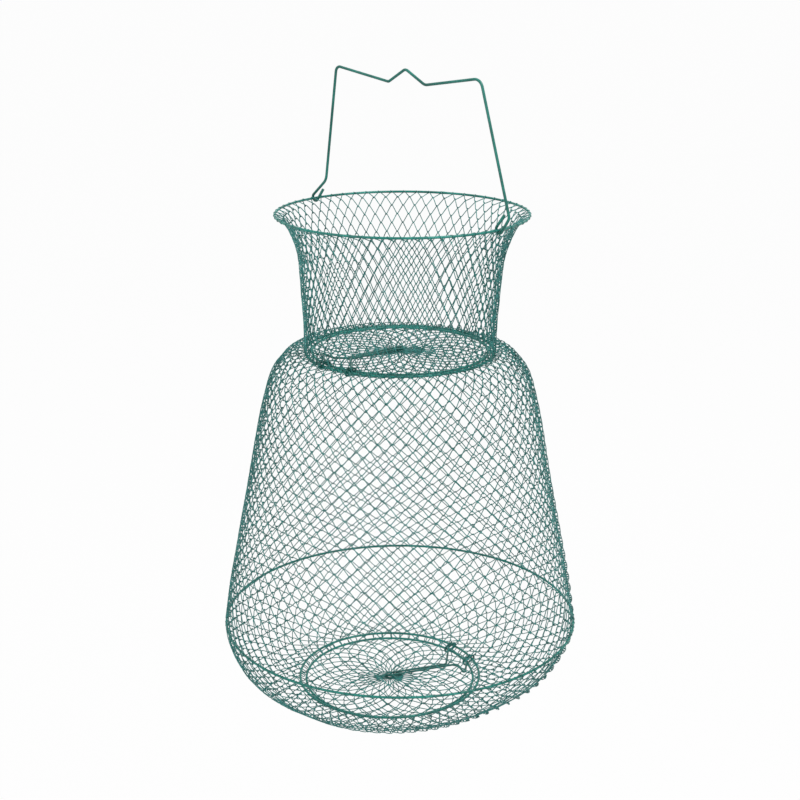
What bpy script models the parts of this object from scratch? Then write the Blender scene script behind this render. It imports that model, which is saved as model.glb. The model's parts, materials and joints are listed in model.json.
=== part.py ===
# Wire keep net that hangs by its bail: four rings, three stretches of net and two sprung doors
import math

import bmesh
import bpy
import numpy as np
from mathutils import Vector
from mathutils.geometry import interpolate_bezier

# Driving dimensions, in metres and degrees
RIM_RADIUS = 0.112
NECK_RADIUS = 0.0855
BELLY_RADIUS = 0.165
BASE_RADIUS = 0.0865

COLLAR_HEIGHT = 0.125
BODY_HEIGHT = 0.262
BOWL_HEIGHT = 0.0635

RING_WIRE = 0.0022
BAIL_WIRE = 0.0025
SPRING_WIRE = 0.0016
EYE_WIRE = 0.0016
NET_WIRE = 0.0014
GAP = 0.0003

# The net is soft, so the rim and the base ring hang a little off the neck's axis
RIM_OFFSET_X = 0.002
BASE_OFFSET_X = -0.010

# Bail, in its own upright plane: distances along the hinge axis, and heights over the rim or
# drops below the peak
BAIL_AZIMUTH = -44.0
BAIL_HEIGHT = 0.12475
PEAK_SHIFT = 0.0037
VALLEY_HALF_WIDTH = 0.0215
VALLEY_SHIFT = 0.0050
VALLEY_DROP = 0.0120
CORNER_HALF_WIDTH = 0.0850
CORNER_SHIFT = 0.0038
CORNER_DROP = 0.0030
LEFT_KINK = (0.0135, 0.0195)
RIGHT_KINK = (-0.0105, 0.0165)
HOOK_LEAN = 37.0
HOOK_HALF_WIDTH = 0.0034
HOOK_TAIL = 0.0130
BEND_RADIUS = 0.005

# Doors: a ring inside the fixed ring, shut by a hairpin spring coiled round both rings.
# Places on a door are a radius from its centre and an angle from the middle of its hinge.
DOOR_SPACING = 0.0058
TOP_HINGE_AZIMUTH = 227.8
BOTTOM_HINGE_AZIMUTH = 32.5
TOP_DOOR_DROP = 0.0
BOTTOM_DOOR_DROP = 0.003
DOOR_SAG = 0.0008
CLIP_ANGLE = 10.7
COIL_CURLS = 1
CURL_GAP = 0.0007
COIL_PLAY = 0.0010
HAIRPIN_GAP = 0.0036
BAR_ANGLE = -15.0
BAR_REACH = 0.0585
BAR_END = (0.0690, -16.5)
V_TIP = (0.0722, -32.5)
EYE_RADIUS = 0.0034

# Net profiles between their rings, as shares of the widening from the narrow ring to the wide
# one and of the height from the lower ring
COLLAR_CURVE = ((0.58, 0.925), (0.32, 0.796), (0.17, 0.668), (0.08, 0.452), (0.0, 0.20))
BODY_CURVE = ((0.157, 1.003), (0.288, 0.971), (0.452, 0.865), (0.543, 0.750), (0.805, 0.331))
BOWL_CURVE = ((0.924, 0.695), (0.72, 0.348), (0.478, 0.126), (0.325, 0.0))

# Cells of the net, about a quarter of the real count each way. A door's net, the body net and
# the bowl net start with a tip between the clips of the door, and the collar net beside it.
NET_COLUMNS = 16
COLLAR_ROWS = 3
BODY_ROWS = 5
BOWL_ROWS = 2
DOOR_ROWS = 2
COLLAR_TURN = 4.7

# The rim hangs in the bottoms of the bail's hooks and rocks about their wire there
RIM_SEAT = (RING_WIRE + BAIL_WIRE) / 2 + GAP

RING_POINTS = 48
EYE_POINTS = 14
HOOK_POINTS = 9
LOOP_POINTS = 13


def clear_scene():
    for thing in list(bpy.data.objects):
        bpy.data.objects.remove(thing, do_unlink=True)


def make_collection(name):
    collection = bpy.data.collections.new(name)
    bpy.context.scene.collection.children.link(collection)
    return collection


def make_material(name, colour, roughness):
    material = bpy.data.materials.new(name)
    material.use_nodes = True
    shader = material.node_tree.nodes["Principled BSDF"]
    shader.inputs["Base Color"].default_value = (*colour, 1.0)
    shader.inputs["Roughness"].default_value = roughness
    shader.inputs["Metallic"].default_value = 0.0
    material.diffuse_color = (*colour, 1.0)
    return material


def make_pivot(name, location, parent=None, turn=0.0):
    """An empty that carries a moving piece, on its joint's axis."""
    pivot = bpy.data.objects.new(name, None)
    pivot.empty_display_size = RIM_RADIUS / 10
    pivot.location = location
    pivot.rotation_euler = (0.0, 0.0, math.radians(turn))
    pivot.parent = parent
    parts.objects.link(pivot)
    return pivot


def add_part(name, data, material, parent, location=(0, 0, 0)):
    data.materials.append(material)
    part = bpy.data.objects.new(name, data)
    part.parent = parent
    part.location = location
    parts.objects.link(part)
    return part


# Paths
def polar(radius, degrees, height=0.0):
    angle = math.radians(degrees)
    return Vector((radius * math.cos(angle), radius * math.sin(angle), height))


def smooth_path(points, steps=12):
    """Points along a smooth curve through the given ones."""
    ahead = points[1:] + [points[-1]]
    behind = [points[0]] + points[:-1]
    slopes = [(b - a) / 6 for a, b in zip(behind, ahead)]
    path = [points[0]]
    for start, end, leave, arrive in zip(points, points[1:], slopes, slopes[1:]):
        path += interpolate_bezier(start, start + leave, end - arrive, end, steps + 1)[1:]
    return path


def fillet_path(points, radius, steps=4):
    """The same run of straight lines with each inner corner turned to an arc."""
    path = [points[0]]
    for before, corner, after in zip(points, points[1:], points[2:]):
        inward = (before - corner).normalized()
        onward = (after - corner).normalized()
        half = inward.angle(onward) / 2
        room = 0.45 * min((before - corner).length, (after - corner).length)
        reach = min(radius / math.tan(half), room)
        middle = (inward + onward).normalized() * (reach / math.cos(half))
        start = inward * reach - middle
        end = onward * reach - middle
        sweep = start.angle(end)
        for step in range(steps + 1):
            share = step / steps
            blend = start * math.sin((1 - share) * sweep) + end * math.sin(share * sweep)
            path.append(corner + middle + blend / math.sin(sweep))
    path.append(points[-1])
    return path


def path_lengths(path):
    return np.concatenate([[0.0], np.cumsum([(b - a).length for a, b in zip(path, path[1:])])])


def at_share(path, share):
    """The point a share of the way along a path, by length."""
    lengths = path_lengths(path)
    return Vector([np.interp(share * lengths[-1], lengths, values) for values in zip(*path)])


def least_gap(path, wire):
    """The least clear space between stretches of one wire that lie apart along it."""
    points = [p for a, b in zip(path, path[1:]) for p in (a, a.lerp(b, 0.5))]
    along = path_lengths(points)
    places = np.array(points)
    apart = np.linalg.norm(places[:, None] - places[None], axis=2)
    apart[np.abs(along[:, None] - along[None]) < 4 * wire] = RIM_RADIUS
    return apart.min() - wire


# Wires
def make_wire(name, path, wire, resolution, material, parent, location=(0, 0, 0), closed=False):
    curve = bpy.data.curves.new(name, "CURVE")
    curve.dimensions = "3D"
    curve.bevel_depth = wire / 2
    curve.bevel_resolution = resolution
    curve.use_fill_caps = True
    spline = curve.splines.new("POLY")
    spline.points.add(len(path) - 1)
    for point, place in zip(spline.points, path):
        point.co = (*place, 1.0)
    spline.use_cyclic_u = closed
    return add_part(name, curve, material, parent, location)


def make_ring(name, radius, wire, points, material, parent, location=(0, 0, 0)):
    path = [polar(radius, 360 * step / points) for step in range(points)]
    return make_wire(name, path, wire, 2, material, parent, location, closed=True)


# Nets
def net_profile(upper, curve, lower, wires, rows):
    """Smooth run of radius and height between two rings, with its tips on their wires."""
    narrow = min(upper.x, lower.x)
    spread = abs(upper.x - lower.x)
    inner = [Vector((narrow + spread * out, 0, upper.z * up)) for out, up in curve]
    places = [upper, *inner, lower]
    route = smooth_path(places)
    step = path_lengths(route)[-1] / (2 * rows)
    ends = []
    for end, share, wire in zip((upper, lower), (1, 2 * rows - 1), wires):
        knot = at_share(route, share / (2 * rows))
        half_width = knot.x * math.sin(math.pi / NET_COLUMNS)
        reach = NET_WIRE / 2 / math.sin(math.atan2(half_width, step))
        ends.append(end + (knot - end).normalized() * (wire / 2 + GAP + reach))
    return smooth_path([ends[0], *inner, ends[1]])


def make_net(name, profile, rows, turn, material, parent, location=(0, 0, 0), lower_x=0.0):
    """Diamond cells round a turned profile that runs from the upper edge to the lower one."""
    mesh = bmesh.new()
    bmesh.ops.create_cone(mesh, segments=NET_COLUMNS, radius1=1, radius2=1, depth=2)
    uprights = [e for e in mesh.edges if abs(e.verts[0].co.z - e.verts[1].co.z) > 1]
    bmesh.ops.subdivide_edges(mesh, edges=uprights, cuts=rows - 1, use_grid_fill=True)
    inner = [e for e in mesh.edges if len(e.link_faces) == 2]
    bmesh.ops.poke(mesh, faces=mesh.faces)
    bmesh.ops.dissolve_edges(mesh, edges=inner, use_verts=False)
    halves = [f for f in mesh.faces if len(f.verts) == 3]
    bmesh.ops.delete(mesh, geom=halves, context="FACES")
    for knot in mesh.verts:
        share = (1 - knot.co.z) / 2
        place = at_share(profile, share)
        angle = math.degrees(math.atan2(knot.co.y, knot.co.x)) + turn
        knot.co = polar(place.x, angle, place.z) + Vector((lower_x * share, 0, 0))
    data = bpy.data.meshes.new(name)
    mesh.to_mesh(data)
    mesh.free()
    net = add_part(name, data, material, parent, location)
    strands = net.modifiers.new("Strands", "WIREFRAME")
    strands.thickness = NET_WIRE
    strands.use_even_offset = True
    strands.use_boundary = True
    strands.use_replace = True
    return net


def make_ring_net(name, radii, height, curve, rows, turn, parent, top=0.0, shift=0.0):
    """The net between a ring and the one below it, whose centre is shifted along X."""
    upper = Vector((radii[0], 0, height))
    lower = Vector((radii[1], 0, 0))
    profile = net_profile(upper, curve, lower, (RING_WIRE, RING_WIRE), rows)
    below = (0, 0, top - height)
    return make_net(name, profile, rows, turn, net_green, parent, below, shift)


# Bail
def hook_path(centre, leg_side):
    """The hook round the rim from its leg to its tail, with a round bend under the rim."""
    lean = math.radians(HOOK_LEAN)
    up = Vector((math.sin(lean), 0, math.cos(lean)))
    out = Vector((-up.z, 0, up.x)) * leg_side
    bend = Vector((centre, 0, HOOK_HALF_WIDTH - RIM_SEAT))
    path = []
    for step in range(HOOK_POINTS):
        angle = math.pi * step / (HOOK_POINTS - 1)
        path.append(bend + (out * math.cos(angle) - up * math.sin(angle)) * HOOK_HALF_WIDTH)
    path.append(bend + up * HOOK_TAIL - out * HOOK_HALF_WIDTH)
    return path


def bail_path():
    """The whole bail from the left tail to the right one."""
    left = hook_path(-RIM_RADIUS, 1)
    right = hook_path(RIM_RADIUS, -1)
    corner = BAIL_HEIGHT - CORNER_DROP
    valley = BAIL_HEIGHT - VALLEY_DROP
    bends = [
        (LEFT_KINK[0] - RIM_RADIUS, LEFT_KINK[1]),
        (CORNER_SHIFT - CORNER_HALF_WIDTH, corner),
        (VALLEY_SHIFT - VALLEY_HALF_WIDTH, valley),
        (PEAK_SHIFT, BAIL_HEIGHT),
        (VALLEY_SHIFT + VALLEY_HALF_WIDTH, valley),
        (CORNER_SHIFT + CORNER_HALF_WIDTH, corner),
        (RIM_RADIUS - RIGHT_KINK[0], RIGHT_KINK[1]),
    ]
    frame = [left[0], *[Vector((along, 0, height)) for along, height in bends], right[0]]
    return left[:0:-1] + fillet_path(frame, BEND_RADIUS) + right[1:]


# Doors
def coil_path(fixed_radius, drop, drift):
    """Curls along the hinge line round both rings, from a tail on top to a leg inward."""
    clip = polar(fixed_radius, CLIP_ANGLE)
    radius = RING_WIRE / 2 + COIL_PLAY + SPRING_WIRE / 2
    outer = Vector((clip.x, 0))
    inner = Vector((math.sqrt((fixed_radius - DOOR_SPACING) ** 2 - clip.y ** 2), -drop))
    stops = [(outer, 90), *[(inner, angle) for angle in range(90, 271, 45)]]
    stops += [(outer, angle) for angle in range(270, 406, 45)]
    path = []
    for index in range(COIL_CURLS * len(stops) + 2):
        centre, angle = stops[index % len(stops)]
        turned = index / len(stops)
        place = centre + polar(radius, angle).xy
        shift = drift * (SPRING_WIRE + CURL_GAP) * (turned - COIL_CURLS / 2)
        path.append(Vector((place.x, clip.y + shift, place.y)))
    return path


def spring_path(fixed_radius, drop):
    """Hairpin from one clip's coil round the door's centre eye to the other clip's coil."""
    inner = fixed_radius - DOOR_SPACING
    rest = EYE_WIRE / 2 + GAP + SPRING_WIRE / 2 - drop

    def over_net(reach, degrees, side=0.0):
        sag = DOOR_SAG * (1 - reach / inner)
        return polar(reach, degrees, rest - sag) + polar(side, degrees + 90)

    half = (SPRING_WIRE + HAIRPIN_GAP) / 2
    opening = math.degrees(math.asin(half / EYE_RADIUS))
    neck = EYE_RADIUS * 1.6
    loop = []
    for step in range(LOOP_POINTS):
        turned = opening + (360 - 2 * opening) * step / (LOOP_POINTS - 1)
        loop.append(over_net(EYE_RADIUS, BAR_ANGLE + turned))
    first = coil_path(fixed_radius, drop, -1)
    last = [Vector((p.x, -p.y, p.z)) for p in reversed(coil_path(fixed_radius, drop, 1))]
    way_in = [first[-1], over_net(BAR_REACH, BAR_ANGLE, half), over_net(neck, BAR_ANGLE, half)]
    way_out = [over_net(neck, BAR_ANGLE, -half), over_net(BAR_REACH, BAR_ANGLE, -half)]
    way_out += [over_net(*BAR_END), over_net(*V_TIP), last[0]]
    bend = 2 * SPRING_WIRE
    start = fillet_path(way_in, bend)
    end = fillet_path(way_out, bend)
    return first[:-1] + start + loop[1:-1] + end + last[1:]


def make_door(side, fixed_radius, azimuth, drop, parent):
    """Ring, net, centre eye and spring, swinging about the line through the two clips."""
    distance = fixed_radius * math.cos(math.radians(CLIP_ANGLE))
    inner = fixed_radius - DOOR_SPACING
    hinge = make_pivot(side + "_door_hinge", polar(distance, azimuth), parent, azimuth)
    centre = Vector((-distance, 0, -drop))
    low = centre - Vector((0, 0, DOOR_SAG))
    make_ring(side + "_door_ring", inner, RING_WIRE, RING_POINTS, ring_green, hinge, centre)
    make_ring(side + "_door_eye", EYE_RADIUS, EYE_WIRE, EYE_POINTS, spring_green, hinge, low)
    upper = Vector((inner, 0, DOOR_SAG))
    lower = Vector((EYE_RADIUS, 0, 0))
    profile = net_profile(upper, (), lower, (RING_WIRE, EYE_WIRE), DOOR_ROWS)
    make_net(side + "_door_net", profile, DOOR_ROWS, 0.0, net_green, hinge, low)
    path = spring_path(fixed_radius, drop)
    print(side, "door spring, least gap between curls", round(1000 * least_gap(path, SPRING_WIRE), 2), "mm")
    make_wire(side + "_door_spring", path, SPRING_WIRE, 1, spring_green, hinge, (-distance, 0, 0))


clear_scene()
parts = make_collection("wire_keep_net")
ring_green = make_material("green_coated_ring", (0.015, 0.215, 0.160), 0.38)
net_green = make_material("green_coated_net", (0.030, 0.130, 0.105), 0.50)
spring_green = make_material("green_coated_spring", (0.012, 0.180, 0.135), 0.40)
bail_green = make_material("green_coated_bail", (0.020, 0.190, 0.145), 0.40)

# The line ties under the bail's peak, which is the origin, and the rest hangs below
bail_route = bail_path()
peak = max(bail_route, key=lambda place: place.z)
rim_centre = polar(-peak.x, BAIL_AZIMUTH, BAIL_WIRE / 2 - peak.z)
seat = Vector((0, 0, RIM_SEAT))
bail_pivot = make_pivot("bail_hinge", rim_centre - seat, None, BAIL_AZIMUTH)
rim_pivot = make_pivot("rim_hinge", rim_centre - seat)
neck_centre = Vector((-RIM_OFFSET_X, 0, RIM_SEAT - COLLAR_HEIGHT))
neck_pivot = make_pivot("neck_centre", neck_centre, rim_pivot)
belly_pivot = make_pivot("belly_centre", (0, 0, -BODY_HEIGHT), neck_pivot)
base_pivot = make_pivot("base_centre", (BASE_OFFSET_X, 0, -BOWL_HEIGHT), belly_pivot)

make_wire("bail", bail_route, BAIL_WIRE, 2, bail_green, bail_pivot, seat)
make_ring("rim_ring", RIM_RADIUS, RING_WIRE, RING_POINTS, ring_green, rim_pivot, seat)
make_ring("neck_ring", NECK_RADIUS, RING_WIRE, RING_POINTS, ring_green, neck_pivot)
make_ring("belly_ring", BELLY_RADIUS, RING_WIRE, RING_POINTS, ring_green, belly_pivot)
make_ring("base_ring", BASE_RADIUS, RING_WIRE, RING_POINTS, ring_green, base_pivot)

collar_turn = TOP_HINGE_AZIMUTH + COLLAR_TURN
collar_radii = (RIM_RADIUS, NECK_RADIUS)
body_radii = (NECK_RADIUS, BELLY_RADIUS)
bowl_radii = (BELLY_RADIUS, BASE_RADIUS)
make_ring_net("collar_net", collar_radii, COLLAR_HEIGHT, COLLAR_CURVE, COLLAR_ROWS, collar_turn,
              rim_pivot, RIM_SEAT, -RIM_OFFSET_X)
make_ring_net("body_net", body_radii, BODY_HEIGHT, BODY_CURVE, BODY_ROWS, TOP_HINGE_AZIMUTH,
              neck_pivot)
make_ring_net("bowl_net", bowl_radii, BOWL_HEIGHT, BOWL_CURVE, BOWL_ROWS, BOTTOM_HINGE_AZIMUTH,
              belly_pivot, 0.0, BASE_OFFSET_X)

make_door("top", NECK_RADIUS, TOP_HINGE_AZIMUTH, TOP_DOOR_DROP, neck_pivot)
make_door("bottom", BASE_RADIUS, BOTTOM_HINGE_AZIMUTH, BOTTOM_DOOR_DROP, base_pivot)
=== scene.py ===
# Wire keep net that hangs by its bail: coated rings, diamond-mesh net and two sprung doors
import json
import math
from typing import NamedTuple

import bmesh
import bpy
import numpy as np
from bpy.props import FloatProperty, FloatVectorProperty, IntProperty, PointerProperty
from bpy.types import Operator, Panel, PropertyGroup
from mathutils import Matrix, Vector
from mathutils.geometry import interpolate_bezier


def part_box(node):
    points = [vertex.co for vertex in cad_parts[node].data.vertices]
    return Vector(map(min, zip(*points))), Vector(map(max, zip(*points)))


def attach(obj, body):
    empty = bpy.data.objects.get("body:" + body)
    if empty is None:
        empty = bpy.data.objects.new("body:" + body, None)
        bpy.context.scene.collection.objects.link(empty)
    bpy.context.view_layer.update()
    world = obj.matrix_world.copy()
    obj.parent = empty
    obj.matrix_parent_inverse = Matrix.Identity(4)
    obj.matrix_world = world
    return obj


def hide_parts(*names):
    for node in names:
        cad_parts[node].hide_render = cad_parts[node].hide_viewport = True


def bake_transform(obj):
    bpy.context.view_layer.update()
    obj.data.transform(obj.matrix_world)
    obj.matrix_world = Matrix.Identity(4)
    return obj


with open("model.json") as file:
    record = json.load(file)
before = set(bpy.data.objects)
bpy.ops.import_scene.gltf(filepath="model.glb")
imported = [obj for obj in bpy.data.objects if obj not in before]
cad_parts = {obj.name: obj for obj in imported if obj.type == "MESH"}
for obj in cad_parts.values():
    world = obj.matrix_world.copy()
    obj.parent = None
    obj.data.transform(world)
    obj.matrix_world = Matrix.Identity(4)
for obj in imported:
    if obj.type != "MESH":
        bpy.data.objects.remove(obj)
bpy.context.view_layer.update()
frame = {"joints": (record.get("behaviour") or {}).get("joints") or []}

bl_info = {
    "name": "Wire Keep Net",
    "version": (1, 0, 0),
    "blender": (4, 5, 0),
    "location": "View3D > Sidebar > Keep Net",
    "description": "Builds a hanging wire keep net with its rings, bail, net and sprung doors",
    "category": "Object",
}


# Places read from the frame
class Hoop:
    """The centre, radius and wire of a ring of the frame that lies level."""

    def __init__(self, node):
        low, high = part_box(node)
        self.centre = (low + high) / 2
        self.wire = high.z - low.z
        self.radius = (high.x - low.x - self.wire) / 2


JOINTS = {joint["name"]: joint for joint in frame["joints"]}
HOOPS = {name: Hoop(name + "_ring") for name in ("rim", "neck", "belly", "base")}
DOORS = {"top_door": "neck", "bottom_door": "base"}


class DoorPlace:
    """Where a door hangs in its fixed ring, seen from that ring's centre towards its hinge."""

    def __init__(self, name):
        self.fixed = HOOPS[DOORS[name]]
        self.ring = Hoop(name + "_ring")
        self.eye = Hoop(name + "_eye")
        hinge = Vector(JOINTS[name + "_hinge"]["pos_m"]) - self.fixed.centre
        self.azimuth = math.degrees(math.atan2(hinge.y, hinge.x))
        self.clip_aside = math.sqrt(self.fixed.radius ** 2 - hinge.xy.length_squared)
        self.drop = self.fixed.centre.z - self.ring.centre.z
        self.sag = self.ring.centre.z - self.eye.centre.z
        self.turned = (Matrix.Translation(self.fixed.centre)
                       @ Matrix.Rotation(math.radians(self.azimuth), 4, "Z"))


def clip_turns(ring):
    """The turns about a ring's centre at which the clips of its door sit, if it holds one."""
    turns = []
    for name, fixed in DOORS.items():
        if fixed == ring:
            place = DoorPlace(name)
            half = math.asin(place.clip_aside / place.fixed.radius)
            turns += [math.radians(place.azimuth) - half, math.radians(place.azimuth) + half]
    return turns


class KeepNetSizes(PropertyGroup):
    ring_wire: FloatProperty(
        name="Ring Wire", description="Thickness of the coated wire of the rings",
        default=round(HOOPS["rim"].wire, 4), min=0.001, max=0.006, precision=4,
        subtype="DISTANCE", unit="LENGTH")
    bail_wire: FloatProperty(
        name="Bail Wire", description="Thickness of the coated wire of the bail",
        default=0.0025, min=0.001, max=0.006, precision=4, subtype="DISTANCE", unit="LENGTH")
    spring_wire: FloatProperty(
        name="Spring Wire", description="Thickness of the wire of the door springs and eyes",
        default=0.0020, min=0.0008, max=0.003, precision=4, subtype="DISTANCE", unit="LENGTH")
    net_wire: FloatProperty(
        name="Net Wire", description="Thickness of the wire that the net is linked from",
        default=0.00082, min=0.0004, max=0.0016, precision=5, subtype="DISTANCE", unit="LENGTH")
    net_depth: FloatProperty(
        name="Net Depth", description="How far the strands lie off the middle of the net",
        default=0.0011, min=0.0002, max=0.003, precision=5, subtype="DISTANCE", unit="LENGTH")
    columns: IntProperty(
        name="Cells Round", description="Cells of the net round each ring",
        default=62, min=12, max=90)
    collar_rows: IntProperty(
        name="Collar Rows", description="Zigzag wires between the rim and the neck",
        default=16, min=4, max=30)
    body_rows: IntProperty(
        name="Body Rows", description="Zigzag wires between the neck and the belly, an even count",
        default=44, min=8, max=60)
    bowl_rows: IntProperty(
        name="Bowl Rows", description="Zigzag wires between the belly and the base",
        default=16, min=4, max=30)
    door_columns: IntProperty(
        name="Door Cells Round", description="Cells of a door's net round its ring",
        default=30, min=8, max=60)
    door_rows: IntProperty(
        name="Door Rows", description="Zigzag wires between a door's ring and its eye",
        default=10, min=2, max=16)


class KeepNetColours(PropertyGroup):
    rings: FloatVectorProperty(
        name="Rings", description="Colour of the coating on the rings",
        default=(0.006, 0.175, 0.142), size=3, min=0.0, max=1.0, subtype="COLOR")
    bail: FloatVectorProperty(
        name="Bail", description="Colour of the coating on the bail",
        default=(0.010, 0.145, 0.115), size=3, min=0.0, max=1.0, subtype="COLOR")
    springs: FloatVectorProperty(
        name="Springs", description="Colour of the coating on the door springs",
        default=(0.003, 0.104, 0.088), size=3, min=0.0, max=1.0, subtype="COLOR")
    net: FloatVectorProperty(
        name="Net", description="Colour of the coating on the net",
        default=(0.024, 0.174, 0.160), size=3, min=0.0, max=1.0, subtype="COLOR")
    floor: FloatVectorProperty(
        name="Floor", description="Colour of the floor",
        default=(0.80, 0.80, 0.80), size=3, min=0.0, max=1.0, subtype="COLOR")


# Shader maths
class Shade:
    """A socket of a material, so that sums on it are written as plain expressions."""

    def __init__(self, tree, socket):
        self.tree = tree
        self.socket = socket

    def sum(self, operation, left, right):
        settings = {"operation": operation}
        return add_node(self.tree, "ShaderNodeMath", settings, {0: left, 1: right})[0]

    def __add__(self, other):
        return self.sum("ADD", self, other)

    __radd__ = __add__

    def __sub__(self, other):
        return self.sum("SUBTRACT", self, other)

    def __rsub__(self, other):
        return self.sum("SUBTRACT", other, self)

    def __mul__(self, other):
        return self.sum("MULTIPLY", self, other)

    __rmul__ = __mul__

    def largest(self, other):
        return self.sum("MAXIMUM", self, other)


def add_node(tree, kind, settings=None, values=None):
    """A node with its settings made first, then its sockets' values or links. Gives its outputs."""
    node = tree.nodes.new(kind)
    for name, value in (settings or {}).items():
        if name == "stops":
            ramp = node.color_ramp
            while len(ramp.elements) < len(value):
                ramp.elements.new(1.0)
            for element, (place, level) in zip(ramp.elements, value):
                element.position = place
                element.color = (level, level, level, 1.0)
        else:
            setattr(node, name, value)
    for key, value in (values or {}).items():
        if isinstance(value, Shade):
            tree.links.new(value.socket, node.inputs[key])
        else:
            node.inputs[key].default_value = value
    return [Shade(tree, socket) for socket in node.outputs]


def new_tree(name):
    material = bpy.data.materials.new(name)
    material.use_nodes = True
    material.node_tree.nodes.clear()
    return material, material.node_tree


def mix_colours(tree, share, first, second):
    settings = {"data_type": "RGBA", "clamp_factor": True}
    return add_node(tree, "ShaderNodeMix", settings, {0: share, 6: first, 7: second})[2]


# Coatings: one colour, deeper where the coating ran thin and paler where it ran thick
PALE_GAIN = 1.35
PALE_LIFT = 0.006
DEEP_GAIN = 0.62
MOTTLE_STOPS = ((0.32, 0.0), (0.68, 1.0))
MOTTLE_ROUGHNESS = 0.10
SKIN_SIZE = 0.0012
SKIN_ROUGHNESS = 0.16
COATING_IOR = 1.36
SHINE_ROUGHNESS = 0.18


class Coating(NamedTuple):
    """A coating's colour by its name in the panel, its finish and the sizes of its marks."""
    colour: str
    roughness: float
    mottle_size: float
    grain: float
    shine: float


COATINGS = {
    "ring_coating": Coating("rings", 0.34, 0.014, 0.00006, 0.10),
    "bail_coating": Coating("bail", 0.34, 0.018, 0.00006, 0.10),
    "spring_coating": Coating("springs", 0.36, 0.008, 0.00005, 0.10),
    "net_coating": Coating("net", 0.42, 0.010, 0.00004, 0.0),
}


def coated_wire(name, colour, coating):
    """Dipped coating on wire: mottled where it ran thick and thin, with a fine uneven skin."""
    material, tree = new_tree(name)
    place = add_node(tree, "ShaderNodeTexCoord")[3]

    def noise(scale, detail, rough):
        values = {"Vector": place, "Scale": scale, "Detail": detail, "Roughness": rough}
        return add_node(tree, "ShaderNodeTexNoise", {"noise_dimensions": "3D"}, values)[0]

    mottle = noise(1 / coating.mottle_size, 3.0, 0.55)
    skin = noise(1 / SKIN_SIZE, 2.0, 0.5)
    pale = tuple(min(1.0, PALE_LIFT + PALE_GAIN * channel) for channel in colour)
    deep = tuple(DEEP_GAIN * channel for channel in colour)
    spread = add_node(tree, "ShaderNodeValToRGB", {"stops": MOTTLE_STOPS}, {0: mottle})[0]
    tone = mix_colours(tree, spread, (*deep, 1.0), (*pale, 1.0))
    uneven = SKIN_ROUGHNESS * (skin - 0.5) + MOTTLE_ROUGHNESS * (mottle - 0.5)
    bump = add_node(tree, "ShaderNodeBump", None,
                    {"Strength": 1.0, "Distance": coating.grain, "Height": skin})[0]
    shader = add_node(tree, "ShaderNodeBsdfPrincipled", None, {
        "Base Color": tone, "Roughness": coating.roughness + uneven, "Metallic": 0.0,
        "IOR": COATING_IOR, "Coat Weight": coating.shine, "Coat Roughness": SHINE_ROUGHNESS,
        "Normal": bump})[0]
    add_node(tree, "ShaderNodeOutputMaterial", None, {"Surface": shader})
    material.diffuse_color = (*colour, 1.0)
    return material


def material_named(name):
    """A material of this object, made when it is first asked for."""
    if name in bpy.data.materials:
        return bpy.data.materials[name]
    coating = COATINGS[name]
    return coated_wire(name, getattr(bpy.context.scene.keep_net_colours, coating.colour), coating)


# Paths
FILLET_STEPS = 8
FILLET_ROOM = 0.45


def polar(radius, degrees, height=0.0):
    angle = math.radians(degrees)
    return Vector((radius * math.cos(angle), radius * math.sin(angle), height))


def smooth_path(points, steps):
    """Points along a smooth curve through the given ones, with steps between each two."""
    ahead = points[1:] + [points[-1]]
    behind = [points[0]] + points[:-1]
    slopes = [(b - a) / 6 for a, b in zip(behind, ahead)]
    path = [points[0]]
    for start, end, leave, arrive in zip(points, points[1:], slopes, slopes[1:]):
        path += interpolate_bezier(start, start + leave, end - arrive, end, steps + 1)[1:]
    return path


def fillet_path(points, radii):
    """The same run of straight lines with each inner corner turned to an arc of its radius."""
    path = [points[0]]
    for before, corner, after, radius in zip(points, points[1:], points[2:], radii):
        inward = (before - corner).normalized()
        onward = (after - corner).normalized()
        half = inward.angle(onward) / 2
        room = FILLET_ROOM * min((before - corner).length, (after - corner).length)
        reach = min(radius / math.tan(half), room)
        middle = (inward + onward).normalized() * (reach / math.cos(half))
        start = inward * reach - middle
        end = onward * reach - middle
        sweep = start.angle(end)
        for step in range(FILLET_STEPS + 1):
            share = step / FILLET_STEPS
            blend = start * math.sin((1 - share) * sweep) + end * math.sin(share * sweep)
            path.append(corner + middle + blend / math.sin(sweep))
    path.append(points[-1])
    return path


# Making pieces
JOIN_DISTANCE = 1e-7
WELD_SWELL = 0.22
WELD_LENGTH = 0.0022
WELD_AZIMUTHS = {"rim": 70, "neck": 20, "belly": 160, "base": 250}


def finish_piece(name, mesh, material, nodes):
    """A finished piece: its place is in its mesh, and its object sits at the origin."""
    mesh.name = name
    mesh.materials.clear()
    mesh.materials.append(material_named(material))
    mesh.shade_smooth()
    piece = bpy.data.objects.new(name, mesh)
    bpy.context.scene.collection.objects.link(piece)
    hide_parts(*nodes)
    return piece


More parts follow.
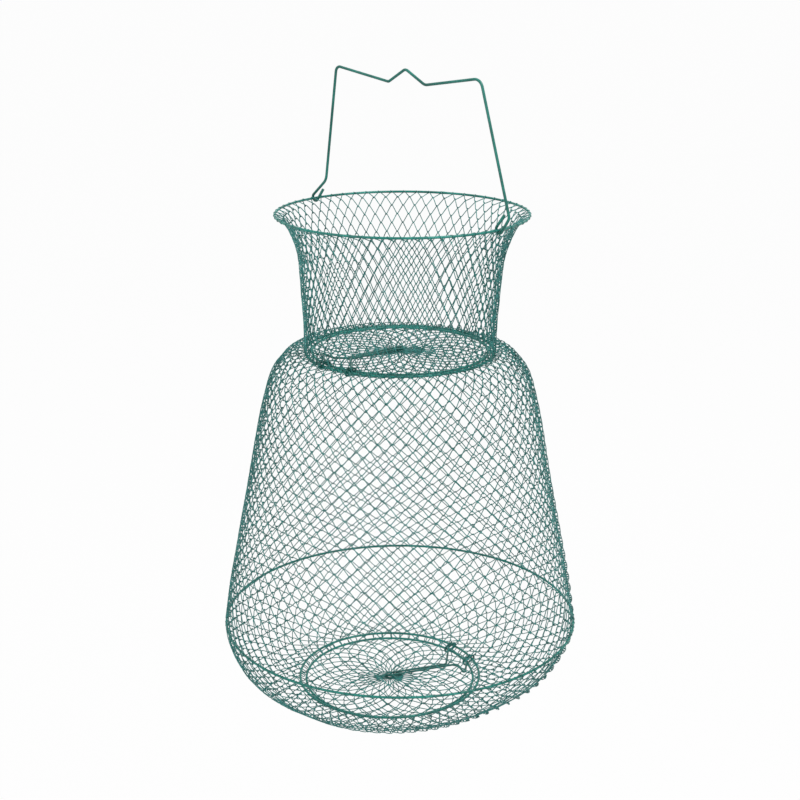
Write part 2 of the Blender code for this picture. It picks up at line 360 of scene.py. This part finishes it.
def wire_mesh(name, paths, wire, resolution, closed, widths=None):
    """Bent wires swept along their paths and turned into one mesh."""
    curve = bpy.data.curves.new(name, "CURVE")
    curve.dimensions = "3D"
    curve.bevel_depth = wire / 2
    curve.bevel_resolution = resolution
    curve.use_fill_caps = not closed
    for index, path in enumerate(paths):
        spline = curve.splines.new("POLY")
        spline.points.add(len(path) - 1)
        places = np.ones((len(path), 4), np.float32)
        places[:, :3] = path
        spline.points.foreach_set("co", places.ravel())
        if widths is not None:
            spline.points.foreach_set("radius", np.asarray(widths[index], np.float32))
        spline.use_cyclic_u = closed
    sweep = bpy.data.objects.new(name + "_path", curve)
    bpy.context.scene.collection.objects.link(sweep)
    bpy.context.view_layer.update()
    swept = sweep.evaluated_get(bpy.context.evaluated_depsgraph_get())
    mesh = bpy.data.meshes.new_from_object(swept)
    bpy.data.objects.remove(sweep)
    bpy.data.curves.remove(curve)
    shape = bmesh.new()
    shape.from_mesh(mesh)
    bmesh.ops.remove_doubles(shape, verts=shape.verts, dist=JOIN_DISTANCE)
    shape.to_mesh(mesh)
    shape.free()
    return mesh


def hoop_mesh(centre, radius, wire, weld_azimuth, steps=180, sides=12):
    """A hoop of round wire, with the low swelling where its ends are welded under the coating."""
    shape = bmesh.new()
    turned = Matrix.Translation((radius, 0, 0)) @ Matrix.Rotation(math.pi / 2, 4, "X")
    bmesh.ops.create_circle(shape, segments=sides, radius=wire / 2, matrix=turned)
    bmesh.ops.spin(shape, geom=shape.verts[:] + shape.edges[:], cent=(0, 0, 0), axis=(0, 0, 1),
                   angle=2 * math.pi, steps=steps, use_merge=True)
    weld = polar(radius, weld_azimuth)
    for vert in shape.verts:
        flat = Vector((vert.co.x, vert.co.y, 0)).normalized() * radius
        swell = 1 + WELD_SWELL * math.exp(-((flat - weld).length / WELD_LENGTH) ** 2)
        vert.co = flat + (vert.co - flat) * swell
    bmesh.ops.recalc_face_normals(shape, faces=shape.faces)
    bmesh.ops.translate(shape, verts=shape.verts, vec=centre)
    shape.verts.index_update()

    def corner_order(item):
        """A number for an edge or face by its corners, so that each run lists them alike."""
        corners = [vert.index for vert in item.verts]
        return min(corners) * len(shape.verts) + max(corners)

    shape.edges.sort(key=corner_order)
    shape.faces.sort(key=corner_order)
    mesh = bpy.data.meshes.new("hoop")
    shape.to_mesh(mesh)
    shape.free()
    return mesh


class KEEPNET_OT_rings(Operator):
    """Make the rim, neck, belly and base hoops and the two door hoops"""

    bl_idname = "keep_net.rings"
    bl_label = "Rings"

    def execute(self, context):
        wire = context.scene.keep_net_sizes.ring_wire
        hoops = [(name, hoop, WELD_AZIMUTHS[name]) for name, hoop in HOOPS.items()]
        for name in DOORS:
            place = DoorPlace(name)
            hoops.append((name, place.ring, place.azimuth + 180))
        for body, hoop, weld in hoops:
            mesh = hoop_mesh(hoop.centre, hoop.radius, wire, weld)
            piece = finish_piece(body + "_hoop", mesh, "ring_coating", [body + "_ring"])
            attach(piece, body)
        return {"FINISHED"}


# Bail: places along its upright plane and heights over the rim or under the peak
BAIL_HEIGHT = 0.12475
HOOK_LEAN = 37.0
HOOK_HALF_WIDTH = 0.0034
HOOK_TAIL = 0.0130
HOOK_POINTS = 15
LEFT_LEG = (0.0147, 0.0183)
RIGHT_LEG = (0.0106, 0.0111)
SHOULDERS = (-0.0816, 0.0888, 0.0024)
VALLEYS = (-0.0165, 0.0265, 0.0120)
PEAK_ALONG = 0.0037
BAIL_BENDS = (0.012, 0.005, 0.004, 0.005, 0.008, 0.008, 0.005)


def hook_path(centre, seat, leg_side):
    """The hook round the rim from its leg to its tail, with a round bend under the rim."""
    lean = math.radians(HOOK_LEAN)
    up = Vector((math.sin(lean), 0, math.cos(lean)))
    out = Vector((-up.z, 0, up.x)) * leg_side
    bend = Vector((centre, 0, HOOK_HALF_WIDTH - seat))
    path = []
    for step in range(HOOK_POINTS):
        angle = math.pi * step / (HOOK_POINTS - 1)
        path.append(bend + (out * math.cos(angle) - up * math.sin(angle)) * HOOK_HALF_WIDTH)
    path.append(bend + up * HOOK_TAIL - out * HOOK_HALF_WIDTH)
    return path


def bail_path(rim_radius, seat):
    """The whole bail from the left tail to the right one, with the rim's centre at 0."""
    left = hook_path(-rim_radius, seat, 1)
    right = hook_path(rim_radius, seat, -1)
    shoulder = BAIL_HEIGHT - SHOULDERS[2]
    valley = BAIL_HEIGHT - VALLEYS[2]
    bends = [
        (LEFT_LEG[0] - rim_radius, LEFT_LEG[1]),
        (SHOULDERS[0], shoulder),
        (VALLEYS[0], valley),
        (PEAK_ALONG, BAIL_HEIGHT),
        (VALLEYS[1], valley),
        (SHOULDERS[1], shoulder),
        (rim_radius + RIGHT_LEG[0], RIGHT_LEG[1]),
    ]
    outline = [left[0], *[Vector((along, 0, height)) for along, height in bends], right[0]]
    return left[:0:-1] + fillet_path(outline, BAIL_BENDS) + right[1:]


class KEEPNET_OT_bail(Operator):
    """Make the bent wire bail with its peak, its two bends and a hook at each end"""

    bl_idname = "keep_net.bail"
    bl_label = "Bail"

    def execute(self, context):
        wire = context.scene.keep_net_sizes.bail_wire
        rim, hinge = HOOPS["rim"], JOINTS["bail_hinge"]
        turn = Vector(hinge["axis"]).xy.angle_signed(Vector((1, 0)))
        turned = Matrix.Translation(rim.centre) @ Matrix.Rotation(turn, 4, "Z")
        seat = rim.centre.z - hinge["pos_m"][2]
        path = [turned @ place for place in bail_path(rim.radius, seat)]
        mesh = wire_mesh("bail", [path], wire, resolution=4, closed=False)
        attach(finish_piece("bail_wire", mesh, "bail_coating", ["bail"]), "bail")
        return {"FINISHED"}


# Nets: zigzag wires, each linked into the one above, so that every knot is two bends hooked
# through each other. A falling strand lies outside the middle of the net and a rising one inside.
# Places run along the side of the net, from its upper ring to its lower one. A strand's points
# are shares of half a cell across and of a row down, and of the depth off the middle.
FRONT_CROWDING = 0.065
BEND = ((0.055, 0.045, 0.75), (0.17, 0.15, 1.0))
STRAND = BEND + tuple((1 - across, 1 - down, out) for across, down, out in reversed(BEND))
KNOT_REACH = 0.58
LOOP_ANGLES = (210, 170, 130, 90, 50, 10, -30)
LOOP_ASIDE = 0.55
THINNEST = 0.6
WALL_STEPS = 24
NET_SLACK = 0.0004

# Near the clips of the top door the loose loops are held close and the collar keeps its shape
CLIP_REACH = 0.004
LOOP_HELD = 0.00135

# Dents of the net: waves by strength, count round the ring, radians down the wall, and start
RIPPLE = ((1.0, 3, 6, 0.8), (0.6, 7, -9, 2.1))
DRIFT = ((1.0, 4, -5, 1.9), (0.7, 23, 29, 0.4))
JITTER = ((1.0, 19, 31, 0.0), (1.0, 11, -43, 1.0))
RIPPLE_ROUND = 0.9
JITTER_ROUND = 0.6
DRIFT_ALONG = 0.7
RIPPLE_OFF = 0.8
DRIFT_OFF = 0.4


def waves(table, turns, share):
    """The waves of a table at some turns and shares of the way along the wall."""
    return [strength * np.sin(around * turns + down * share + start)
            for strength, around, down, start in table]


class NetWall:
    """The smooth wall that a stretch of net follows, turned about its rings' shifting centre."""

    def __init__(self, profile, upper_centre, lower_centre, slack):
        route = np.array([place.xz for place in smooth_path(profile, WALL_STEPS)])
        steps = np.linalg.norm(np.diff(route, axis=0), axis=1)
        self.places = np.concatenate([[0.0], np.cumsum(steps)])
        self.route = route
        self.length = self.places[-1]
        self.tangents = np.gradient(route, self.places, axis=0)
        self.tangents /= np.linalg.norm(self.tangents, axis=1)[:, None]
        self.upper = np.array(upper_centre)
        self.lower = np.array(lower_centre)
        self.slack = slack

    def radius(self, along):
        return np.interp(along, self.places, self.route[:, 0])

    def points(self, turns, along, off):
        """Places for turns in radians, lengths along the wall and heights off it."""
        inside = np.clip(along, 0.0, self.length)
        share = inside / self.length
        shift = self.slack * 4 * share * (1 - share)
        ripple = sum(waves(RIPPLE, turns, share))
        drift = sum(waves(DRIFT, turns, share))
        jitter = math.prod(waves(JITTER, turns, share))
        sideways = RIPPLE_ROUND * ripple + JITTER_ROUND * jitter
        moved = turns + shift * sideways / self.radius(inside)
        inside = inside + shift * DRIFT_ALONG * drift
        off = off + shift * (RIPPLE_OFF * ripple - DRIFT_OFF * drift)
        beyond = along - np.clip(along, 0.0, self.length)
        out_way, up_way = (np.interp(inside, self.places, side) for side in self.tangents.T)
        out, up = (np.interp(inside, self.places, side) for side in self.route.T)
        out += beyond * out_way - off * up_way
        up += beyond * up_way + off * out_way
        centre = self.upper[:2] * (1 - share)[:, None] + self.lower[:2] * share[:, None]
        flat = np.stack([out * np.cos(moved), out * np.sin(moved), up], axis=1)
        flat[:, :2] += centre
        return flat


def row_places(wall, rows, weights):
    """Where the knots' levels lie along the wall, for rows that follow the given weights."""
    middles = (np.arange(rows) + 0.5) / rows
    heights = np.interp(middles, np.linspace(0, 1, len(weights)), weights)
    return wall.length * np.concatenate([[0.0], np.cumsum(heights)]) / heights.sum()


def crowd(turns):
    """Turns with the cells a little closer together at the front than at the back."""
    return turns - FRONT_CROWDING * np.cos(turns)


class Tie(NamedTuple):
    """What the last bends loop over: a wire, how far past it the loops hang loose, how thick the
    loops are against the rest of the net, and how far their far ends lie off it."""
    wire: float
    play: float
    thick: float
    lift: float = 0.0


def zigzag(wall, levels, row, columns, wire, depth, ties):
    """One zigzag wire in cells round, linked with its neighbours or looped over its tie."""
    pitch = 2 * math.pi / columns
    hook = KNOT_REACH * wire
    above = ties[0] if row == 0 else None
    below = ties[1] if row == len(levels) - 2 else None
    top = levels[row] - (0 if above else hook)
    low = levels[row + 1] + (0 if below else hook)

    def bend(base, level, way, tie):
        """The tip of one bend, or its loop over a tie."""
        if not tie:
            return [(base, level, 0.0, 1.0)]
        reach = (tie.wire + wire * tie.thick) / 2
        loop = []
        for angle in map(math.radians, LOOP_ANGLES):
            aside = LOOP_ASIDE * wire * tie.thick * math.cos(angle)
            aside /= wall.radius(level) * pitch
            past, off = reach * math.sin(angle), way * reach * math.cos(angle)
            if past > 0:
                past, off = past + tie.play, off + tie.lift
            loop.append((base + aside, level - way * past, off, tie.thick))
        return loop

    steps = []
    for base, way, tie, other in ((0.0, 1, above, below), (0.5, -1, below, above)):
        start, end = (top, low) if way == 1 else (low, top)
        steps += bend(base, start, way, tie)
        first, last = (1 if tie else 0), (len(STRAND) - 1 if other else len(STRAND))
        steps += [(base + across / 2, start + (end - start) * down, way * depth * out, 1.0)
                  for across, down, out in STRAND[first:last]]
    turns, along, off, thick = (np.tile(column, columns) for column in np.array(steps).T)
    return turns + np.repeat(np.arange(columns), len(steps)), along, off, thick


def held_close(wall, turns, along, clips):
    """Lengths along the wall, with the loose loops at the upper ring pulled in under the clips."""
    for clip in clips:
        apart = np.abs((turns - clip + math.pi) % (2 * math.pi) - math.pi) * wall.radius(along)
        along = np.where(apart < CLIP_REACH, np.maximum(along, -LOOP_HELD), along)
    return along


def net_mesh(name, wall, levels, rows, columns, phase, wire, depth, ties, warp, clips=(),
             thin=0.0):
    """The zigzag wires of some rows of a net, thinned where it is gathered within a radius."""
    paths, widths = [], []
    for row in rows:
        cells, along, off, thick = zigzag(wall, levels, row, columns, wire, depth, ties)
        turns = warp((cells + row / 2 + phase) * 2 * math.pi / columns)
        along = held_close(wall, turns, along, clips)
        paths.append(wall.points(turns, along, off))
        widths.append(thick * np.clip(wall.radius(along) / max(thin, 1e-6), THINNEST, 1.0))
    return wire_mesh(name, paths, wire, resolution=1, closed=True, widths=widths)


def wall_profile(upper, curve, lower):
    """Radius and height between two rings, from shares of the widening and of the height."""
    narrow = min(upper.x, lower.x)
    spread = abs(upper.x - lower.x)
    height = upper.z - lower.z
    inner = [Vector((narrow + spread * out, 0, lower.z + height * up)) for out, up in curve]
    return [upper, *inner, lower]


# Sides of the three stretches, by shares of the widening and of the height
COLLAR_CURVE = ((0.80, 0.985), (0.58, 0.925), (0.32, 0.796), (0.17, 0.668), (0.08, 0.452),
                (0.01, 0.20))
BODY_CURVE = ((0.08, 1.004), (0.157, 0.997), (0.235, 0.984), (0.288, 0.965), (0.358, 0.940),
              (0.407, 0.910), (0.452, 0.865), (0.543, 0.750), (0.655, 0.560), (0.805, 0.331),
              (0.925, 0.150))
BOWL_CURVE = ((0.978, 0.861), (0.924, 0.695), (0.835, 0.504), (0.72, 0.348), (0.580, 0.220),
              (0.478, 0.126), (0.408, 0.063), (0.325, 0.010), (0.16, -0.005))


class Stretch(NamedTuple):
    """A stretch of net between two rings, with its cells' heights from its upper end to its lower
    one, where its cells begin, the endings of its pieces' names and how both ends are tied."""
    name: str
    upper: str
    lower: str
    curve: tuple
    heights: tuple
    phase: float
    pieces: tuple
    loops: tuple


# Ties by how loose, how thick and how far off their loops are
TIGHT = (0.0, 0.6)
LOOSE = (0.0025, 1.1)
LOOSE_LOW = (0.0023, 1.1, 0.0026)
STRETCHES = (
    Stretch("collar", "rim", "neck", COLLAR_CURVE, (1, 1), 0.404, ("",), (TIGHT, TIGHT)),
    Stretch("body", "neck", "belly", BODY_CURVE, (1.07, 1.07, 1.0, 0.86), 0.904, ("_u", "_l"),
            (LOOSE, TIGHT)),
    Stretch("bowl", "belly", "base", BOWL_CURVE, (1, 1), 0.404, ("",), (TIGHT, LOOSE_LOW)),
)


class KEEPNET_OT_nets(Operator):
    """Link the collar, body and bowl nets from zigzag wires that loop over the rings"""

    bl_idname = "keep_net.nets"
    bl_label = "Nets"

    def execute(self, context):
        sizes = context.scene.keep_net_sizes
        for net in STRETCHES:
            upper, lower = HOOPS[net.upper], HOOPS[net.lower]
            high, low = upper.centre, lower.centre
            profile = wall_profile(Vector((upper.radius, 0, high.z)), net.curve,
                                   Vector((lower.radius, 0, low.z)))
            wall = NetWall(profile, high, low, NET_SLACK)
            rows = getattr(sizes, net.name + "_rows")
            levels = row_places(wall, rows, net.heights)
            ties = [Tie(sizes.ring_wire, *loop) for loop in net.loops]
            clips = clip_turns(net.upper)
            share = rows // len(net.pieces)
            for index, ending in enumerate(net.pieces):
                label = net.name + "_mesh" + ending
                mesh = net_mesh(label, wall, levels, range(index * share, (index + 1) * share),
                                sizes.columns, net.phase, sizes.net_wire, sizes.net_depth, ties,
                                crowd, clips)
                piece = finish_piece(label, mesh, "net_coating", [net.name + "_net"])
                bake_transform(piece)
        return {"FINISHED"}


# Springs: curls along the hinge line round both rings, and a hairpin over the door's net.
# Places on a door are a radius from its centre and an angle from the middle of its hinge.
# The fork, where the hairpin's wires part for the eye, is in eye radii and half gaps.
COIL_CURLS = 1
CURL_STEP = 20
CURL_GAP = 0.0007
COIL_PLAY = 0.0007
HAIRPIN_GAP = 0.0012
HAIRPIN_REST = 0.0010
BAR_ANGLES = {"top_door": -8.0, "bottom_door": -15.0}
BAR_REACH = 0.0585
BAR_END = (0.0690, -16.5)
V_TIP = ((0.0714, -30.1), (0.0736, -30.0))
FORK = (1.8, 1.5)
LOOP_POINTS = 25
DOOR_HEIGHTS = (0.52, 0.80, 0.95, 1.0)
DOOR_DEPTH = 0.45
DOOR_MIDDLE = (0.5, 0.3)
DOOR_PHASE = 0.404
DOOR_SLACK = 0.0005
DOOR_TIES = ((0.0002, 0.7), (0.0, 0.6))
GATHER_RADIUS = 0.008


def coil_path(place, drift, ring_wire, wire):
    """Curls along the hinge line round both rings, from a tail on top of the outer ring to the
    top of the inner one, where the leg sets off."""
    def rim_at(radius):
        return math.sqrt(radius ** 2 - place.clip_aside ** 2)

    radius = ring_wire / 2 + COIL_PLAY + wire / 2
    outer = Vector((rim_at(place.fixed.radius), 0))
    inner = Vector((rim_at(place.ring.radius), -place.drop))
    stops = [(outer, 90), *[(inner, angle) for angle in range(90, 271, CURL_STEP)]]
    stops += [(outer, angle) for angle in range(270, 431, CURL_STEP)]
    path = []
    for index in range(COIL_CURLS * len(stops) + 2):
        centre, angle = stops[index % len(stops)]
        turned = index / len(stops)
        spot = centre + polar(radius, angle).xy
        shift = drift * (wire + CURL_GAP) * (turned - COIL_CURLS / 2)
        path.append(Vector((spot.x, place.clip_aside + shift, spot.y)))
    return path


def spring_path(place, bar_angle, ring_wire, wire):
    """Hairpin from one clip's coil round the door's centre eye to the other clip's coil."""
    eye = place.eye.radius
    rest = (place.eye.wire + wire) / 2 + HAIRPIN_REST - place.drop

    def over_net(reach, degrees, side=0.0):
        sag = place.sag * (1 - reach / place.ring.radius)
        return polar(reach, degrees, rest - sag) + polar(side, degrees + 90)

    half = (wire + HAIRPIN_GAP) / 2
    opening = math.degrees(math.asin(half / eye))
    loop = []
    for step in range(LOOP_POINTS):
        turned = opening + (360 - 2 * opening) * step / (LOOP_POINTS - 1)
        loop.append(over_net(eye, bar_angle + turned))
    first = coil_path(place, -1, ring_wire, wire)
    last = [Vector((spot.x, -spot.y, spot.z))
            for spot in reversed(coil_path(place, 1, ring_wire, wire))]
    fork, spread = FORK[0] * eye, FORK[1] * half
    way_in = [first[-1], over_net(BAR_REACH, bar_angle, half), over_net(fork, bar_angle, spread)]
    way_out = [over_net(fork, bar_angle, -spread), over_net(BAR_REACH, bar_angle, -half)]
    way_out += [over_net(*spot) for spot in (BAR_END, *V_TIP)] + [last[0]]
    bends = [2 * wire] * len(way_out)
    start = fillet_path(way_in, bends)
    end = fillet_path(way_out, bends)
    return first[:-1] + start + loop[1:-1] + end + last[1:]


class KEEPNET_OT_doors(Operator):
    """Fill each door with its net, gathered at the eye, and clip its hairpin spring on"""

    bl_idname = "keep_net.doors"
    bl_label = "Doors"

    def execute(self, context):
        sizes = context.scene.keep_net_sizes
        wire = sizes.spring_wire
        for body in DOORS:
            place = DoorPlace(body)
            spring = spring_path(place, BAR_ANGLES[body], sizes.ring_wire, wire)
            path = [place.turned @ spot for spot in spring]
            mesh = wire_mesh(body, [path], wire, resolution=3, closed=False)
            hairpin = finish_piece(body + "_hairpin", mesh, "spring_coating",
                                   [body + "_spring"])
            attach(hairpin, body)
            mesh = hoop_mesh(place.eye.centre, place.eye.radius, wire, place.azimuth + 90,
                             steps=48, sides=10)
            eye = finish_piece(body + "_centre", mesh, "spring_coating", [body + "_eye"])
            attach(eye, body)
            profile = [Vector((place.ring.radius, 0, place.ring.centre.z)),
                       Vector((DOOR_MIDDLE[0] * place.ring.radius, 0,
                               place.eye.centre.z + DOOR_MIDDLE[1] * place.sag)),
                       Vector((place.eye.radius, 0, place.eye.centre.z))]
            wall = NetWall(profile, place.ring.centre, place.eye.centre, DOOR_SLACK)
            levels = row_places(wall, sizes.door_rows, DOOR_HEIGHTS)
            ties = [Tie(tied, *loop) for tied, loop in zip((sizes.ring_wire, wire), DOOR_TIES)]
            mesh = net_mesh(body, wall, levels, range(sizes.door_rows), sizes.door_columns,
                            DOOR_PHASE, sizes.net_wire, DOOR_DEPTH * sizes.net_depth, ties,
                            lambda turns: turns, thin=GATHER_RADIUS)
            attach(finish_piece(body + "_mesh", mesh, "net_coating", [body + "_net"]), body)
        return {"FINISHED"}


# Stage: the camera fitted to the rings, a pale floor well under the net and soft lamps. The
# camera's focal length is in pixels of a picture that is PICTURE_WIDTH pixels wide.
CAMERA_PLACE = (-0.00468, -1.31332, 0.1200)
CAMERA_DOWN = 17.52
CAMERA_FOCAL = 1507.7
PICTURE_WIDTH = 800
SENSOR_WIDTH = 36.0
FLOOR_HEIGHT = -1.05
FLOOR_RADIUS = 40.0
FLOOR_GLOW = 0.96
ROOM_LIGHT = 0.55
LAMP_TARGET = (0, 0, -0.3)
LAMPS = (
    ("key_lamp", (0.8, -0.8, 1.3), 1.0, 26),
    ("fill_lamp", (-1.5, -1.3, 0.4), 1.4, 12),
    ("back_lamp", (0.3, 2.0, 1.4), 1.4, 8),
)


def seen_by_camera(tree):
    """1 for rays that the camera sees directly, mirrored or let through, and 0 for the rest."""
    ray = add_node(tree, "ShaderNodeLightPath")
    directly, mirrored, let_through = ray[0], ray[3], ray[6]
    return directly.largest(mirrored).largest(let_through)


def floor_material(colour):
    """Pale floor that shows white to the camera and still takes the shadow of the net."""
    material, tree = new_tree("pale_floor")
    shown = seen_by_camera(tree) * FLOOR_GLOW
    paint = add_node(tree, "ShaderNodeBsdfDiffuse", None, {"Color": (*colour, 1.0)})[0]
    glow = add_node(tree, "ShaderNodeEmission", None, {"Color": (1, 1, 1, 1)})[0]
    mixed = add_node(tree, "ShaderNodeMixShader", None, {0: shown, 1: paint, 2: glow})[0]
    add_node(tree, "ShaderNodeOutputMaterial", None, {"Surface": mixed})
    return material


def world_material(world):
    """White surroundings for the camera, and plain dimmer light for everything else."""
    tree = world.node_tree
    tree.nodes.clear()
    seen = seen_by_camera(tree)
    room, white = (add_node(tree, "ShaderNodeBackground", None,
                            {"Color": (1, 1, 1, 1), "Strength": strength})[0]
                   for strength in (ROOM_LIGHT, 1.0))
    mixed = add_node(tree, "ShaderNodeMixShader", None, {0: seen, 1: room, 2: white})[0]
    add_node(tree, "ShaderNodeOutputWorld", None, {"Surface": mixed})


def add_lamp(name, place, size, power):
    lamp = bpy.data.lights.new(name, "AREA")
    lamp.shape = "DISK"
    lamp.size = size
    lamp.energy = power
    holder = bpy.data.objects.new(name, lamp)
    holder.location = place
    aim = Vector(LAMP_TARGET) - Vector(place)
    holder.rotation_euler = aim.to_track_quat("-Z", "Y").to_euler()
    bpy.context.scene.collection.objects.link(holder)


class KEEPNET_OT_stage(Operator):
    """Set up the camera, the soft lamps, the pale floor and the white surroundings"""

    bl_idname = "keep_net.stage"
    bl_label = "Stage"

    def execute(self, context):
        scene = context.scene
        scene.view_settings.view_transform = "Standard"
        camera = bpy.data.cameras.new("camera")
        camera.sensor_width = SENSOR_WIDTH
        camera.lens = SENSOR_WIDTH * CAMERA_FOCAL / PICTURE_WIDTH
        camera.clip_start = 0.05
        camera.clip_end = 100.0
        holder = bpy.data.objects.new("camera", camera)
        holder.location = CAMERA_PLACE
        holder.rotation_euler = (math.radians(90 - CAMERA_DOWN), 0, 0)
        scene.collection.objects.link(holder)
        scene.camera = holder

        shape = bmesh.new()
        level = Matrix.Translation((0, 0, FLOOR_HEIGHT))
        bmesh.ops.create_circle(shape, cap_ends=True, segments=64, radius=FLOOR_RADIUS,
                                matrix=level)
        mesh = bpy.data.meshes.new("floor")
        shape.to_mesh(mesh)
        shape.free()
        mesh.materials.append(floor_material(scene.keep_net_colours.floor))
        floor = bpy.data.objects.new("floor", mesh)
        scene.collection.objects.link(floor)

        for lamp in LAMPS:
            add_lamp(*lamp)

        world = bpy.data.worlds.new("surroundings")
        world.use_nodes = True
        world_material(world)
        scene.world = world
        return {"FINISHED"}


class KEEPNET_PT_panel(Panel):
    """Sizes, colours and the steps that build the keep net"""

    bl_idname = "KEEPNET_PT_panel"
    bl_label = "Keep Net"
    bl_space_type = "VIEW_3D"
    bl_region_type = "UI"
    bl_category = "Keep Net"

    def draw(self, context):
        layout = self.layout
        for group in (context.scene.keep_net_sizes, context.scene.keep_net_colours):
            column = layout.column(align=True)
            for name in group.bl_rna.properties.keys():
                if name not in ("rna_type", "name"):
                    column.prop(group, name)
        for step in STEPS:
            layout.operator(step.bl_idname)


STEPS = (
    KEEPNET_OT_stage,
    KEEPNET_OT_rings,
    KEEPNET_OT_bail,
    KEEPNET_OT_nets,
    KEEPNET_OT_doors,
)
CLASSES = (KeepNetSizes, KeepNetColours, *STEPS, KEEPNET_PT_panel)


def register():
    for item in CLASSES:
        bpy.utils.register_class(item)
    bpy.types.Scene.keep_net_sizes = PointerProperty(type=KeepNetSizes)
    bpy.types.Scene.keep_net_colours = PointerProperty(type=KeepNetColours)


def unregister():
    del bpy.types.Scene.keep_net_colours
    del bpy.types.Scene.keep_net_sizes
    for item in reversed(CLASSES):
        bpy.utils.unregister_class(item)


def main():
    register()
    bpy.ops.keep_net.stage()
    bpy.ops.keep_net.rings()
    bpy.ops.keep_net.bail()
    bpy.ops.keep_net.nets()
    bpy.ops.keep_net.doors()
    bpy.context.view_layer.update()


if __name__ == "__main__":
    main()
